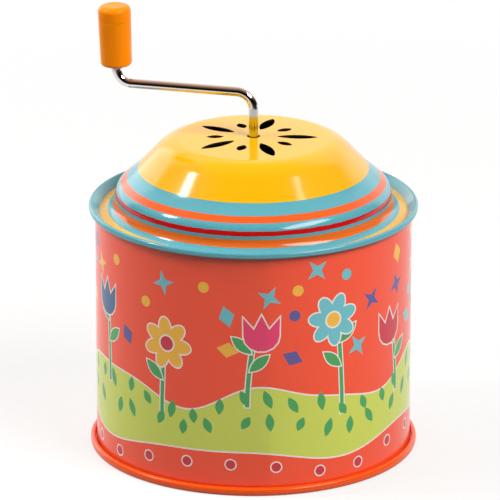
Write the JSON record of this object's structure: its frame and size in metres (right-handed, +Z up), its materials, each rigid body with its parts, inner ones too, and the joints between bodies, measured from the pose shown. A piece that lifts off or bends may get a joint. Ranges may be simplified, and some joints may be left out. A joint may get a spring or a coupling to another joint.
{
  "type": "music box",
  "caption": "Round printed tin music box with a domed, slotted lid, and a bent wire crank with a turning knob that drives a pinned cylinder past a comb.",
  "frame": {"origin": "centre of the base, on the surface that the can stands on", "axes": "+Z up along the can's and the crank shaft's axis; the crank's arm points to -X; the wall's seam is at the back, near +Y"},
  "size_m": [0.078, 0.078, 0.1066],
  "materials": {
    "lid_tin": "gloss enamel print on tinplate, yellow with teal, orange and red rings",
    "body_tin": "satin enamel print on tinplate, orange-red ground",
    "base_tin": "gloss orange enamel on tinplate",
    "chrome": "bright plated wire",
    "knob_plastic": "glossy moulded plastic, orange",
    "brass": "turned brass",
    "steel": "zinc-plated steel",
    "comb_steel": "ground spring steel",
    "casting": "as-cast light alloy",
    "nylon": "moulded nylon, off-white"
  },
  "bodies": {
    "can": {"lid": "lid_tin", "body_wall": "body_tin", "base_pan": "base_tin", "bedplate": "casting", "bridge": "steel", "bridge_bush": "brass", "foot_bush": "brass", "arbor_bush_left": "brass", "arbor_bush_right": "brass", "comb": "comb_steel", "comb_clamp": "steel", "comb_screw_left": "steel", "comb_screw_middle": "steel", "comb_screw_right": "steel", "bridge_screw_front": "steel", "bridge_screw_rear": "steel", "post_front": "brass", "post_rear": "brass", "post_side": "brass", "plate_screw_front": "steel", "plate_screw_rear": "steel", "plate_screw_side": "steel", "base_screw_front": "steel", "base_screw_rear": "steel", "base_screw_side": "steel"},
    "crank": {"crank_rod": "chrome", "worm": "brass", "worm_screw": "steel", "thrust_washer": "nylon", "knob_retainer": "steel"},
    "knob": {"crank_knob": "knob_plastic", "knob_cap": "knob_plastic"},
    "drum": {"worm_wheel": "nylon", "pinned_cylinder": "brass", "cylinder_arbor": "steel"}
  },
  "joints": [
    {"name": "crank_spin", "type": "hinge", "parent": "can", "child": "crank", "pos_m": [0, 0, 0.05], "axis": [0, 0, 1], "continuous": true},
    {"name": "knob_spin", "type": "hinge", "parent": "crank", "child": "knob", "pos_m": [-0.03282, 0, 0.09145], "axis": [-0.0305, 0, 0.9995], "continuous": true},
    {"name": "drum_spin", "type": "hinge", "parent": "can", "child": "drum", "pos_m": [0, 0.0106, 0.02435], "axis": [1, 0, 0], "continuous": true}
  ],
  "couplings": [
    {"joint": "drum_spin", "follows": "crank_spin", "ratio": 0.045455}
  ]
}
